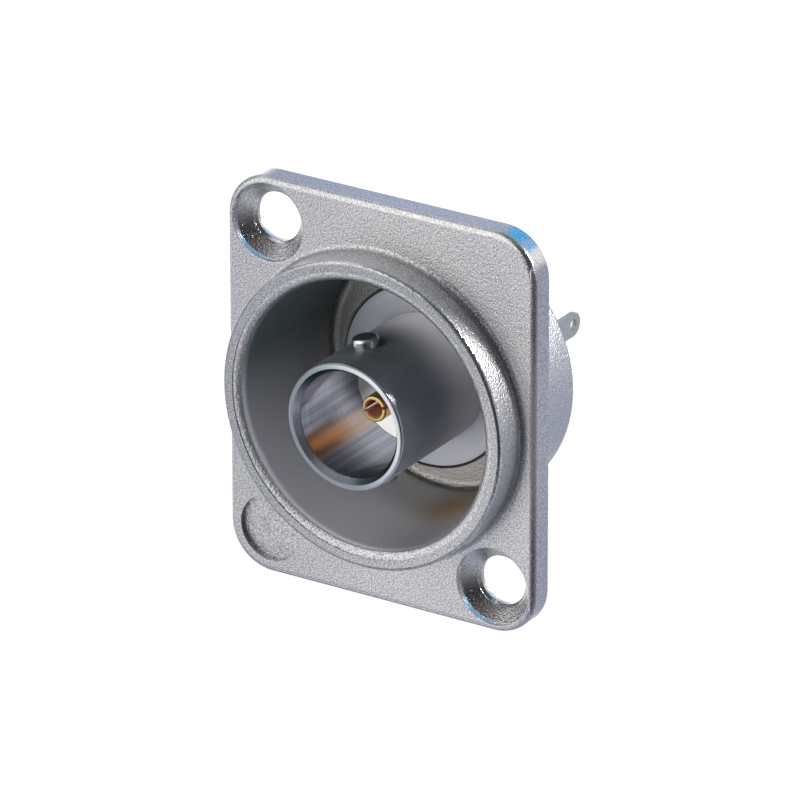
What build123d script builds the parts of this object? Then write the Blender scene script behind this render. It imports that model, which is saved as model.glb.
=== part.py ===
"""Panel BNC socket in a recessed bell housing.

Millimetres. The origin is the centre of the fixing plate's back, on the socket's axis.
+X is to the right seen from the front, +Y runs back through the panel and +Z is up.
"""
from build123d import *
from math import cos, radians, sin, tan
import os

# Fixing plate
plate_width = 26.0
plate_height = 31.0
plate_thickness = 1.8
plate_corner_radius = 3.5
plate_edge_round = 0.45
fixing_hole_inset = 3.5
fixing_hole_radius = 1.87
countersink_radius = 3.0
countersink_mouth_depth = 0.42
countersink_land = 0.36
ejector_pad_radius = 2.55
ejector_pad_depth = 0.4

# Raised ring in front of the plate and bell behind it
ring_side_land = 1.2
ring_height = 2.65
ring_draft = 1.0
ring_edge_round = 0.25
ring_foot_round = 0.4
ring_wall = 1.55
lip_step = 0.08
lip_round = 0.75
bell_depth = 11.3
bell_draft = 3.2
bell_floor_round = 0.6
bell_floor_thickness = 1.05
cup_wall = 0.8
cup_draft = 4.0
cup_edge_round = 0.4

# Barrel and flange of the jack
bore_radius = 4.06
bore_depth = 8.0
barrel_wall = 0.8
barrel_length = 10.85
barrel_edge_round = 0.22
mouth_chamfer_width = 0.36
mouth_chamfer_depth = 0.5
flange_radius = 6.97
flange_thickness = 1.0
flange_edge_chamfer = 0.08

# Bayonet studs
stud_radius = 1.0
stud_height = 0.64
stud_setback = 4.0
stud_skin = 0.3
stud_edge_round = 0.28
stud_turn = 8.5

# Shank and rear spigot of the jack
shank_radius = 4.76
shank_chamfer = 0.4
shank_beyond_nut = 1.2
rear_bore_radius = 2.5
spigot_wall = 0.6
spigot_roll = 0.35
spigot_roll_length = 0.6
spigot_roll_chamfer = 0.18

# Insulators inside the jack
front_dielectric_length = 2.8
rear_dielectric_proud = 0.45
rear_dielectric_chamfer = 0.2

# Centre contact
contact_radius = 1.0
contact_hole_radius = 0.65
contact_hole_depth = 5.2
contact_recess = 3.8
contact_lead_in = 0.1
contact_edge_round = 0.12
slot_width = 0.22
slot_length = 3.6
slot_turn = 17.0
collar_radius = 1.6
collar_length = 0.8
solder_cup_length = 3.1
solder_cup_wall = 0.3
solder_cup_floor = 0.6
solder_cup_opening = 2.2

# Insulating bush and rear insulating washer
bush_rim = 0.12
bush_base = 1.5
bush_neck_wall = 0.7
bush_neck_shortfall = 0.1
rear_washer_radius = 7.0
rear_washer_thickness = 1.0
rear_washer_edge_chamfer = 0.15

# Lock washer and nut
lock_washer_width = 1.8
lock_washer_thickness = 0.5
lock_washer_teeth = 12
tooth_depth = 0.8
tooth_gap = 0.7
nut_wall = 1.24
nut_thickness = 2.4
nut_chamfer_angle = 30.0
nut_thread_chamfer = 0.3

# Solder tag
tag_ring_width = 1.0
tag_thickness = 0.35
tag_width = 1.85
tag_reach = 5.85
tag_hole_radius = 0.42
tag_hole_inset = 0.92
tag_bend_round = 0.2
tag_relief = 0.3

# Clearances
fit_clearance = 0.02
slip_clearance = 0.05

# Places along the axis, front to back
plate_front = -plate_thickness
ring_front = plate_front - ring_height
floor_front = ring_front + bell_depth
floor_back = floor_front + bell_floor_thickness
flange_back = floor_front - bush_base
flange_front = flange_back - flange_thickness
barrel_front = flange_front - barrel_length
contact_front = barrel_front + contact_recess
stud_place = barrel_front + stud_setback
dielectric_front = barrel_front + bore_depth
dielectric_seat = dielectric_front + front_dielectric_length
rear_washer_back = floor_back + rear_washer_thickness
lock_washer_back = rear_washer_back + lock_washer_thickness
nut_back = lock_washer_back + nut_thickness
shank_back = nut_back + shank_beyond_nut
tag_back = shank_back + tag_thickness
spigot_back = tag_back + spigot_roll_length
rear_dielectric_back = spigot_back + rear_dielectric_proud
solder_cup_back = rear_dielectric_back + solder_cup_length

# Radii that follow from the sizes above
ring_foot_radius = plate_width / 2 - ring_side_land
ring_radius = ring_foot_radius - ring_height * tan(radians(ring_draft))
bell_mouth_radius = ring_radius - ring_wall
bell_floor_radius = bell_mouth_radius - bell_depth * tan(radians(bell_draft))
cup_back_radius = bell_floor_radius + cup_wall
cup_root_radius = cup_back_radius + floor_back * tan(radians(cup_draft))
barrel_radius = bore_radius + barrel_wall
stud_seat_radius = bore_radius + stud_skin
stud_top_radius = barrel_radius + stud_height
shank_hole_radius = shank_radius + slip_clearance
bush_neck_radius = shank_hole_radius + bush_neck_wall
bush_radius = flange_radius + fit_clearance + bush_rim
spigot_radius = rear_bore_radius + spigot_wall
tag_ring_radius = spigot_radius + fit_clearance + tag_ring_width


def turned(*corners):
    """Turn a closed outline round the Y axis.

    A corner is (radius, y), with the radius of its round as a third value where it has one.
    """
    points = [corner[:2] for corner in corners]
    rounds = [corner[2] if len(corner) == 3 else 0 for corner in corners]
    outline = FilletPolyline(*points, radius=rounds, close=True)
    return revolve(make_face(outline), Axis.Y)


def facing_front(y):
    """Plane across the axis at y, with its normal to the front."""
    return Plane(origin=(0, y, 0), x_dir=(1, 0, 0), z_dir=(0, -1, 0))


def fixing_plate():
    """Plate with rounded corners and a rounded front edge."""
    outline = facing_front(0) * RectangleRounded(plate_width, plate_height, plate_corner_radius)
    plate = extrude(outline, amount=plate_thickness)
    front_edges = plate.edges().group_by(Axis.Y)[0]
    return fillet(front_edges, plate_edge_round)


def bell_body():
    """Solid of revolution of the raised ring and the tapered cup behind the plate."""
    return turned(
        (0, ring_front),
        (ring_radius, ring_front, ring_edge_round),
        (ring_foot_radius, plate_front),
        (ring_foot_radius, plate_front / 2),
        (cup_root_radius, 0),
        (cup_back_radius, floor_back, cup_edge_round),
        (0, floor_back),
    )


def bell_room():
    """Space inside the bell: a shallow step in the ring's face, the rounded lip and the wall."""
    room_front = ring_front - lip_step
    step_radius = bell_mouth_radius + lip_round
    step_floor = ring_front + lip_step
    return turned(
        (0, room_front),
        (step_radius, room_front),
        (step_radius, step_floor),
        (bell_mouth_radius, step_floor, lip_round),
        (bell_floor_radius, floor_front, bell_floor_round),
        (0, floor_front),
    )


def fixing_hole(x, z):
    """Countersunk hole for a panel screw, with a short straight mouth in front."""
    cone_front = plate_front + countersink_mouth_depth
    land = facing_front(0) * Pos(x, z) * Circle(fixing_hole_radius)
    neck = facing_front(-countersink_land) * Pos(x, z) * Circle(fixing_hole_radius)
    mouth = facing_front(cone_front) * Pos(x, z) * Circle(countersink_radius)
    cone = loft([neck.face(), mouth.face()])
    return extrude(land, amount=plate_thickness) + cone + extrude(mouth, amount=countersink_mouth_depth)


def make_housing():
    """Die-cast housing: plate, raised ring, bell and cup in one piece."""
    body = fixing_plate() + bell_body()
    foot = body.edges().filter_by(GeomType.CIRCLE).sort_by(
        lambda edge: abs(edge.radius - ring_foot_radius) + abs(edge.center().Y - plate_front)
    )[0]
    body = fillet(foot, ring_foot_round)
    body -= bell_room()
    floor_hole = facing_front(floor_back) * Circle(bush_neck_radius + slip_clearance)
    body -= extrude(floor_hole, amount=bell_floor_thickness)
    hole_x = plate_width / 2 - fixing_hole_inset
    hole_z = plate_height / 2 - fixing_hole_inset
    for side in (-1, 1):
        body -= fixing_hole(side * hole_x, -side * hole_z)
    pad = facing_front(plate_front) * Pos(-hole_x, -hole_z) * Circle(ejector_pad_radius)
    return body - extrude(pad, amount=-ejector_pad_depth)


def stud_plane(side, height):
    """Plane across a stud at a distance from the jack's axis; side is 1 above and -1 below."""
    turn = radians(stud_turn)
    outward = (-side * sin(turn), 0, side * cos(turn))
    return Plane(origin=(0, stud_place, 0), z_dir=outward).offset(height)


def make_jack_body():
    """Turned jack: barrel, flange, shank and the rolled spigot that holds the tag."""
    body = turned(
        (bore_radius + mouth_chamfer_width, barrel_front),
        (barrel_radius, barrel_front, barrel_edge_round),
        (barrel_radius, flange_front),
        (flange_radius - flange_edge_chamfer, flange_front),
        (flange_radius, flange_front + flange_edge_chamfer),
        (flange_radius, flange_back),
        (shank_radius, flange_back),
        (shank_radius, shank_back - shank_chamfer),
        (shank_radius - shank_chamfer, shank_back),
        (spigot_radius, shank_back),
        (spigot_radius, tag_back),
        (spigot_radius + spigot_roll, tag_back),
        (spigot_radius + spigot_roll, spigot_back - spigot_roll_chamfer),
        (spigot_radius + spigot_roll - spigot_roll_chamfer, spigot_back),
        (rear_bore_radius, spigot_back),
        (rear_bore_radius, dielectric_seat),
        (bore_radius, dielectric_seat),
        (bore_radius, barrel_front + mouth_chamfer_depth),
    )
    for side in (-1, 1):
        seat = stud_plane(side, stud_seat_radius) * Circle(stud_radius)
        body -= extrude(seat, amount=barrel_wall)
    return body


def make_stud(side):
    """Bayonet stud, pressed into its seat in the barrel."""
    foot = stud_plane(side, stud_seat_radius) * Circle(stud_radius)
    stud = extrude(foot, amount=stud_top_radius - stud_seat_radius)
    top = stud.faces().sort_by(lambda face: side * face.center().Z)[-1]
    return fillet(top.edges(), stud_edge_round)


def make_front_dielectric():
    """Insulator at the bottom of the bore, recessed behind for the contact's collar."""
    collar_front = dielectric_seat - collar_length
    return turned(
        (contact_radius + fit_clearance, dielectric_front),
        (bore_radius - fit_clearance, dielectric_front),
        (bore_radius - fit_clearance, dielectric_seat),
        (collar_radius + fit_clearance, dielectric_seat),
        (collar_radius + fit_clearance, collar_front),
        (contact_radius + fit_clearance, collar_front),
    )


def make_rear_dielectric():
    """Insulator in the shank, which holds the contact's collar against the front one."""
    return turned(
        (contact_radius + fit_clearance, dielectric_seat),
        (rear_bore_radius - fit_clearance, dielectric_seat),
        (rear_bore_radius - fit_clearance, rear_dielectric_back - rear_dielectric_chamfer),
        (rear_bore_radius - fit_clearance - rear_dielectric_chamfer, rear_dielectric_back),
        (contact_radius + fit_clearance, rear_dielectric_back),
    )


def make_centre_contact():
    """Tubular contact with two slots, a captive collar and an open solder cup."""
    collar_front = dielectric_seat - collar_length
    cup_radius = contact_radius - solder_cup_wall
    cup_bottom = rear_dielectric_back + solder_cup_floor
    body = turned(
        (contact_hole_radius + contact_lead_in, contact_front),
        (contact_radius, contact_front, contact_edge_round),
        (contact_radius, collar_front),
        (collar_radius, collar_front),
        (collar_radius, dielectric_seat),
        (contact_radius, dielectric_seat),
        (contact_radius, solder_cup_back),
        (cup_radius, solder_cup_back),
        (cup_radius, cup_bottom),
        (0, cup_bottom),
        (0, contact_front + contact_hole_depth),
        (contact_hole_radius, contact_front + contact_hole_depth),
        (contact_hole_radius, contact_front + contact_lead_in),
    )
    slot_outline = facing_front(contact_front + slot_length) * Rot(0, 0, slot_turn)
    slot_outline *= Rectangle(4 * contact_radius, slot_width)
    body -= extrude(slot_outline, amount=slot_length)
    opening = facing_front(solder_cup_back) * Pos(0, contact_radius)
    opening *= Rectangle(4 * contact_radius, 2 * contact_radius)
    return body - extrude(opening, amount=solder_cup_opening)


def make_insulating_bush():
    """Black bush: cupped round the jack's flange, with a neck through the bell floor."""
    neck_back = floor_back - bush_neck_shortfall
    return turned(
        (shank_hole_radius, flange_back),
        (bush_radius - bush_rim, flange_back),
        (bush_radius - bush_rim, flange_front),
        (bush_radius, flange_front),
        (bush_radius, floor_front),
        (bush_neck_radius, floor_front),
        (bush_neck_radius, neck_back),
        (shank_hole_radius, neck_back),
    )


def make_rear_insulating_washer():
    """Black washer behind the bell floor, chamfered round both of its outer edges."""
    return turned(
        (shank_hole_radius, floor_back),
        (rear_washer_radius - rear_washer_edge_chamfer, floor_back),
        (rear_washer_radius, floor_back + rear_washer_edge_chamfer),
        (rear_washer_radius, rear_washer_back - rear_washer_edge_chamfer),
        (rear_washer_radius - rear_washer_edge_chamfer, rear_washer_back),
        (shank_hole_radius, rear_washer_back),
    )


def make_lock_washer():
    """Washer with a ring of teeth left standing between notches in its outer edge."""
    outer_radius = shank_hole_radius + lock_washer_width
    washer = turned(
        (shank_hole_radius, rear_washer_back),
        (outer_radius, rear_washer_back),
        (outer_radius, lock_washer_back),
        (shank_hole_radius, lock_washer_back),
    )
    for place in PolarLocations(outer_radius, lock_washer_teeth):
        notch = facing_front(lock_washer_back) * place * Rectangle(2 * tooth_depth, tooth_gap)
        washer -= extrude(notch, amount=lock_washer_thickness)
    return washer


def make_hex_nut():
    """Thin nut with chamfered corners and a chamfered thread at both ends."""
    flat_distance = shank_radius + nut_wall
    corner_distance = flat_distance / cos(radians(30))
    fall = (corner_distance - flat_distance) * tan(radians(nut_chamfer_angle))
    mouth_radius = shank_hole_radius + nut_thread_chamfer
    hexagon = facing_front(nut_back) * RegularPolygon(flat_distance, 6, major_radius=False)
    blank = extrude(hexagon, amount=nut_thickness)
    turned_form = turned(
        (shank_hole_radius, lock_washer_back + nut_thread_chamfer),
        (mouth_radius, lock_washer_back),
        (flat_distance, lock_washer_back),
        (corner_distance, lock_washer_back + fall),
        (corner_distance, nut_back - fall),
        (flat_distance, nut_back),
        (mouth_radius, nut_back),
        (shank_hole_radius, nut_back - nut_thread_chamfer),
    )
    return blank & turned_form


def make_solder_tag():
    """Earth tag: a ring on the spigot and a tongue bent back from its edge."""
    tag_end = shank_back + tag_reach
    hole_radius = spigot_radius + fit_clearance
    inner_face = tag_ring_radius - tag_thickness
    profile = FilletPolyline(
        (hole_radius, shank_back),
        (tag_ring_radius, shank_back),
        (tag_ring_radius, tag_end),
        (inner_face, tag_end),
        (inner_face, tag_back),
        (hole_radius, tag_back),
        radius=[0, tag_bend_round + tag_thickness, 0, 0, tag_bend_round, 0],
        close=True,
    )
    tongue = extrude(make_face(profile), amount=tag_width / 2, both=True)
    side_view = Plane(origin=(0, 0, 0), x_dir=(0, 1, 0), z_dir=(1, 0, 0))
    end_centre = Pos(tag_end - tag_width / 2, 0)
    square_end = side_view * Pos(tag_end, 0) * Rectangle(tag_width, tag_width)
    round_end = side_view * end_centre * Circle(tag_width / 2)
    tongue -= extrude(square_end - round_end, amount=tag_ring_radius)
    wire_hole = side_view * Pos(tag_end - tag_hole_inset, 0) * Circle(tag_hole_radius)
    tongue -= extrude(wire_hole, amount=tag_ring_radius)
    ring = turned(
        (hole_radius, shank_back),
        (tag_ring_radius, shank_back),
        (tag_ring_radius, tag_back),
        (hole_radius, tag_back),
    )
    bend_start = inner_face - tag_bend_round
    relief = side_view * Pos(shank_back, 0) * Rectangle(4 * tag_thickness, tag_width + 2 * tag_relief)
    relief = Pos(bend_start, 0, 0) * extrude(relief, amount=tag_ring_radius)
    return ring - relief + tongue


parts = {
    "housing": make_housing(),
    "jack_body": make_jack_body(),
    "bayonet_stud_upper": make_stud(1),
    "bayonet_stud_lower": make_stud(-1),
    "front_dielectric": make_front_dielectric(),
    "centre_contact": make_centre_contact(),
    "rear_dielectric": make_rear_dielectric(),
    "insulating_bush": make_insulating_bush(),
    "rear_insulating_washer": make_rear_insulating_washer(),
    "lock_washer": make_lock_washer(),
    "hex_nut": make_hex_nut(),
    "solder_tag": make_solder_tag(),
}

os.makedirs("parts", exist_ok=True)
for name, solid in parts.items():
    export_step(solid, f"parts/{name}.step")
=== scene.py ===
"""Looks of a panel BNC socket in a recessed bell housing.

Everything is in metres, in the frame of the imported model: the socket faces -Y, +X is to the right seen from
the front and +Z is up. Turns are in degrees round the socket's axis, counted from +X towards +Z.
"""
import logging
import math
from dataclasses import dataclass
from enum import Enum
from functools import cached_property

import bmesh
import bpy
from mathutils import Matrix, Vector


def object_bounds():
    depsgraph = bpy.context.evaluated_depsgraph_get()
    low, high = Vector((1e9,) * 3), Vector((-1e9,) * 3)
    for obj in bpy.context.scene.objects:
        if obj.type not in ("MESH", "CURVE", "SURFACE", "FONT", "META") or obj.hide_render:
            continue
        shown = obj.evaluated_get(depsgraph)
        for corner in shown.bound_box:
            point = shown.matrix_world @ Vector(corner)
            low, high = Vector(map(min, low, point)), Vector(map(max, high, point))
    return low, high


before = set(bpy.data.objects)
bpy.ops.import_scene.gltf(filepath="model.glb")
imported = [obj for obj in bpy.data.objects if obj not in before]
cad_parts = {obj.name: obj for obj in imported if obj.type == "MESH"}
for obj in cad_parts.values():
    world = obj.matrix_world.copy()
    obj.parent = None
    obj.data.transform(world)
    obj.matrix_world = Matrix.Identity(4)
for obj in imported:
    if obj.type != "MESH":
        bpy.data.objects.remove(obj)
CAD_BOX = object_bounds()

LOG = logging.getLogger("bnc_socket")
MM = 0.001
IMAGE_SIZE = 800

Colour = tuple[float, float, float]
Triple = tuple[float, float, float]
Range = tuple[float, float]
Socket = bpy.types.NodeSocket
Outputs = bpy.types.bpy_prop_collection


# Sub-assemblies, with the sizes that the finishes follow

class SubAssembly:
    """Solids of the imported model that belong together."""

    title: str

    def dress(self, material: bpy.types.Material, *nodes: str) -> None:
        """Give some of the solids a finish.

        Args:
            material: the finish.
            nodes: the solids' names.
        """
        for name in nodes:
            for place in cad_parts[name].material_slots:
                place.material = material
            LOG.info("%s: %s is finished as %s", self.title, name, material.name)


@dataclass(frozen=True)
class Housing(SubAssembly):
    """The cast housing: plate with two screw holes, raised ring, bell and cup wall."""

    title: str = "housing"
    half_width: float = float(CAD_BOX[1][0])
    half_height: float = float(CAD_BOX[1][2])
    plate_corner: float = 3.5 * MM
    plate_thickness: float = 1.8 * MM
    hole_inset: float = 3.5 * MM
    countersink_radius: float = 3.0 * MM
    countersink_mouth: float = 0.42 * MM
    countersink_land: float = 0.36 * MM
    ring_radius: float = 11.8 * MM
    ring_height: float = 2.65 * MM
    bell_depth: float = 11.3 * MM

    @property
    def plate_front(self) -> float:
        """Place of the plate's front along the axis."""
        return -self.plate_thickness

    @property
    def ring_front(self) -> float:
        """Place of the ring's front along the axis."""
        return self.plate_front - self.ring_height

    @property
    def floor_front(self) -> float:
        """Place of the bell's floor along the axis."""
        return self.ring_front + self.bell_depth

    @property
    def cone_front(self) -> float:
        """Place where a countersink's cone starts along the axis."""
        return self.plate_front + self.countersink_mouth

    @property
    def cone_back(self) -> float:
        """Place where a countersink's cone ends along the axis."""
        return -self.countersink_land

    @property
    def left_hole(self) -> Triple:
        """Centre of the screw hole on the left; the other one is opposite it."""
        return (self.hole_inset - self.half_width, 0.0, self.half_height - self.hole_inset)

    def finish(self, cast: bpy.types.Material) -> None:
        """Dress the casting."""
        self.dress(cast, "housing")


@dataclass(frozen=True)
class Jack(SubAssembly):
    """The turned jack: barrel with its bore, flange and threaded shank, and the two pressed-in studs."""

    title: str = "jack"
    barrel_front: float = float(CAD_BOX[0][1])
    barrel_length: float = 10.85 * MM
    barrel_radius: float = 4.86 * MM
    bore_radius: float = 4.06 * MM
    bore_depth: float = 8.0 * MM
    mouth_chamfer: float = 0.36 * MM
    shank_radius: float = 4.76 * MM
    shank_back: float = 13.0 * MM
    thread_pitch: float = 0.794 * MM

    @property
    def mouth_radius(self) -> float:
        """Radius of the bore's chamfered mouth."""
        return self.bore_radius + self.mouth_chamfer

    @property
    def bore_end(self) -> float:
        """Place of the bore's bottom along the axis."""
        return self.barrel_front + self.bore_depth

    @property
    def flange_front(self) -> float:
        """Place of the flange's front along the axis."""
        return self.barrel_front + self.barrel_length

    def finish(self, turned: bpy.types.Material, pressed: bpy.types.Material) -> None:
        """Dress the body and its studs."""
        self.dress(turned, "jack_body")
        self.dress(pressed, "bayonet_stud_upper", "bayonet_stud_lower")


HOUSING = Housing()
JACK = Jack()


@dataclass(frozen=True)
class Contact(SubAssembly):
    """The centre contact and the two insulators that hold it."""

    title: str = "contact"
    recess: float = 3.8 * MM
    hole_radius: float = 0.65 * MM

    @property
    def front(self) -> float:
        """Place of the contact's front along the axis."""
        return JACK.barrel_front + self.recess

    def finish(self, gilt: bpy.types.Material, white: bpy.types.Material) -> None:
        """Dress the contact and its insulators."""
        self.dress(gilt, "centre_contact")
        self.dress(white, "front_dielectric", "rear_dielectric")


CONTACT = Contact()


@dataclass(frozen=True)
class Fixings(SubAssembly):
    """The nut and the toothed washer behind the housing."""

    title: str = "fixings"

    def finish(self, turned: bpy.types.Material, sprung: bpy.types.Material) -> None:
        """Dress the nut and the washer."""
        self.dress(turned, "hex_nut")
        self.dress(sprung, "lock_washer")


@dataclass(frozen=True)
class Insulation(SubAssembly):
    """The bush and the washer that keep the jack off the housing."""

    title: str = "insulation"

    def finish(self, black: bpy.types.Material) -> None:
        """Dress the bush and the washer."""
        self.dress(black, "insulating_bush", "rear_insulating_washer")


@dataclass(frozen=True)
class EarthTag(SubAssembly):
    """The pressed tag on the jack's spigot."""

    title: str = "earth tag"

    def finish(self, tinned: bpy.types.Material) -> None:
        """Dress the tag."""
        self.dress(tinned, "solder_tag")


# Node trees

class Laid(Enum):
    """How a second colour is laid over the first."""

    PAINTED = "MIX"
    TINTED = "MULTIPLY"


def across_axis(degrees: float) -> Triple:
    """Give the unit vector that points across the socket's axis at a turn."""
    turn = math.radians(degrees)
    return (math.cos(turn), 0.0, math.sin(turn))


def beyond(place: float, distances: Range) -> Range:
    """Give the two places that lie beyond a place by two distances."""
    return (place + distances[0], place + distances[1])


class NodeSheet:
    """A node tree that is being filled in, with short calls for the nodes this scene uses."""

    nodes_in_row = 12
    node_spacing = (180, -220)
    # Places of the share and of the two things mixed among a Mix node's inputs, and of what comes out
    mixed_values = ((0, 2, 3), 0)
    mixed_colours = ((0, 6, 7), 2)

    def __init__(self, tree: bpy.types.NodeTree) -> None:
        """Keep the tree and clear it.

        Args:
            tree: the node tree of a material, the world or a node group.
        """
        self.tree = tree
        self.tree.nodes.clear()
        self.count = 0

    def node(self, kind: str, **settings: object) -> bpy.types.Node:
        """Add a node, laid out after the last one.

        Args:
            kind: the node's type name.
            settings: the node's own properties, such as its operation.

        Returns:
            The new node.
        """
        made = self.tree.nodes.new(kind)
        row, column = divmod(self.count, self.nodes_in_row)
        made.location = (self.node_spacing[0] * column, self.node_spacing[1] * row)
        self.count += 1
        for name, value in settings.items():
            setattr(made, name, value)
        return made

    def feed(self, socket: Socket, value: object) -> None:
        """Link a socket into an input, or write a plain value there.

        Args:
            socket: the input.
            value: an output socket, a number, a vector or a colour.
        """
        if isinstance(value, Socket):
            self.tree.links.new(value, socket)
        elif socket.type == "RGBA" and len(value) == 3:
            socket.default_value = (*value, 1.0)
        else:
            socket.default_value = value

    def maths(self, operation: str, first: object, second: object = 0.0, third: object = 0.0) -> Socket:
        """Add a Math node.

        Args:
            operation: the node's operation.
            first: first operand.
            second: second operand.
            third: third operand, for the operations that have one.

        Returns:
            The result's socket.
        """
        made = self.node("ShaderNodeMath", operation=operation)
        for socket, value in zip(made.inputs, (first, second, third)):
            self.feed(socket, value)
        return made.outputs[0]

    def overlap(self, first: Socket, *others: Socket) -> Socket:
        """Multiply masks, so that only what all of them mark stays marked.

        Args:
            first: the first mask.
            others: the other masks.

        Returns:
            The common mask.
        """
        common = first
        for mask in others:
            common = self.maths("MULTIPLY", common, mask)
        return common

    def slant(self, first: Socket, second: Socket) -> Socket:
        """Work out the long side of a right triangle.

        Args:
            first: one short side.
            second: the other short side.

        Returns:
            The long side's socket.
        """
        squares = [self.maths("MULTIPLY", side, side) for side in (first, second)]
        return self.maths("SQRT", self.maths("ADD", *squares))

    def vectors(self, operation: str, first: object, second: object = (0.0, 0.0, 0.0)) -> Socket:
        """Add a Vector Math node.

        Args:
            operation: the node's operation.
            first: first operand.
            second: second operand, or the number to scale by.

        Returns:
            The result's socket, which is a number for a dot product, a length and a distance.
        """
        made = self.node("ShaderNodeVectorMath", operation=operation)
        self.feed(made.inputs[0], first)
        self.feed(made.inputs["Scale" if operation == "SCALE" else 1], second)
        numeric = operation in ("DOT_PRODUCT", "LENGTH", "DISTANCE")
        return made.outputs["Value" if numeric else "Vector"]

    def spread(self, value: object, low: float, high: float, to_low: float = 0.0,
               to_high: float = 1.0) -> Socket:
        """Add a Map Range node with a smooth step.

        Args:
            value: what is mapped.
            low: lower end of the range read.
            high: upper end of the range read.
            to_low: value at the lower end.
            to_high: value at the upper end.

        Returns:
            The mapped value's socket.
        """
        made = self.node("ShaderNodeMapRange", interpolation_type="SMOOTHSTEP")
        for name, number in zip(("Value", "From Min", "From Max", "To Min", "To Max"),
                                (value, low, high, to_low, to_high)):
            self.feed(made.inputs[name], number)
        return made.outputs["Result"]

    def fade(self, value: object, low: float, high: float) -> Socket:
        """Mark what is below a range, with a smooth end within it.

        Args:
            value: what is read.
            low: where the mark starts to fade.
            high: where it is gone.

        Returns:
            The mask.
        """
        return self.spread(value, low, high, 1.0, 0.0)

    def mix(self, share: object, first: object, second: object, laid: Laid = Laid.PAINTED) -> Socket:
        """Add a Mix node for colours.

        Args:
            share: how much of the second colour there is.
            first: first colour.
            second: second colour.
            laid: how the second colour is laid over the first.

        Returns:
            The mixed colour's socket.
        """
        made = self.node("ShaderNodeMix", data_type="RGBA", blend_type=laid.value)
        places, result = self.mixed_colours
        for place, value in zip(places, (share, first, second)):
            self.feed(made.inputs[place], value)
        return made.outputs[result]

    def blend(self, share: object, first: object, second: object) -> Socket:
        """Add a Mix node for values.

        Args:
            share: how much of the second value there is.
            first: first value.
            second: second value.

        Returns:
            The mixed value's socket.
        """
        made = self.node("ShaderNodeMix", data_type="FLOAT")
        places, result = self.mixed_values
        for place, value in zip(places, (share, first, second)):
            self.feed(made.inputs[place], value)
        return made.outputs[result]

    def noise(self, vector: object, scale: object, detail: float, roughness: float) -> Socket:
        """Add a Noise Texture node.

        Args:
            vector: where it is read.
            scale: cells for each metre.
            detail: octaves.
            roughness: weight of the finer octaves.

        Returns:
            The noise's value socket.
        """
        made = self.node("ShaderNodeTexNoise")
        self.feed(made.inputs["Vector"], vector)
        self.feed(made.inputs["Scale"], scale)
        self.feed(made.inputs["Detail"], detail)
        self.feed(made.inputs["Roughness"], roughness)
        return made.outputs["Fac"]


class GroupSheet(NodeSheet):
    """A shader node group with named inputs and outputs."""

    def __init__(self, name: str, inputs: dict[str, object], outputs: dict[str, str]) -> None:
        """Make the group and its sockets.

        Args:
            name: the group's name.
            inputs: each input's name, with its default value, or None for a vector without one.
            outputs: each output's name, with its socket type.
        """
        group = bpy.data.node_groups.new(name, "ShaderNodeTree")
        super().__init__(group)
        for title, value in inputs.items():
            kind = "NodeSocketVector" if value is None else "NodeSocketFloat"
            socket = group.interface.new_socket(name=title, in_out="INPUT", socket_type=kind)
            if value is not None:
                socket.default_value = value
        for title, kind in outputs.items():
            group.interface.new_socket(name=title, in_out="OUTPUT", socket_type=kind)
        self.given = self.node("NodeGroupInput").outputs
        self.result = self.node("NodeGroupOutput").inputs

    def group(self) -> bpy.types.NodeTree:
        """Give the finished group."""
        return self.tree

    def parts(self) -> Outputs:
        """Split the given vector into X, Y and Z."""
        split = self.node("ShaderNodeSeparateXYZ")
        self.feed(split.inputs[0], self.given["Vector"])
        return split.outputs


def cast_grain_group() -> bpy.types.NodeTree:
    """Grain of a plated casting: fine bumps, scattered pits and flecks.

    Returns:
        The node group.
    """
    sheet = GroupSheet(
        "cast_grain",
        {"Vector": None, "Grain Size": 0.16 * MM, "Pit Size": 0.34 * MM},
        {"Height": "NodeSocketFloat", "Fleck": "NodeSocketFloat"},
    )
    hollow_reach = (0.05, 0.55)
    hollow_depth = 0.45
    fleck_reach = (0.35, 0.68)
    grain_scale = sheet.maths("DIVIDE", 1.0, sheet.given["Grain Size"])
    pit_scale = sheet.maths("DIVIDE", 1.0, sheet.given["Pit Size"])
    bumps = sheet.noise(sheet.given["Vector"], grain_scale, detail=2.5, roughness=0.6)
    pits = sheet.node("ShaderNodeTexVoronoi", feature="SMOOTH_F1")
    sheet.feed(pits.inputs["Vector"], sheet.given["Vector"])
    sheet.feed(pits.inputs["Scale"], pit_scale)
    sheet.feed(pits.inputs["Smoothness"], 0.35)
    hollows = sheet.spread(pits.outputs["Distance"], *hollow_reach, to_high=hollow_depth)
    sheet.feed(sheet.result["Height"], sheet.maths("ADD", bumps, hollows))
    sheet.feed(sheet.result["Fleck"], sheet.spread(bumps, *fleck_reach))
    return sheet.group()


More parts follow.
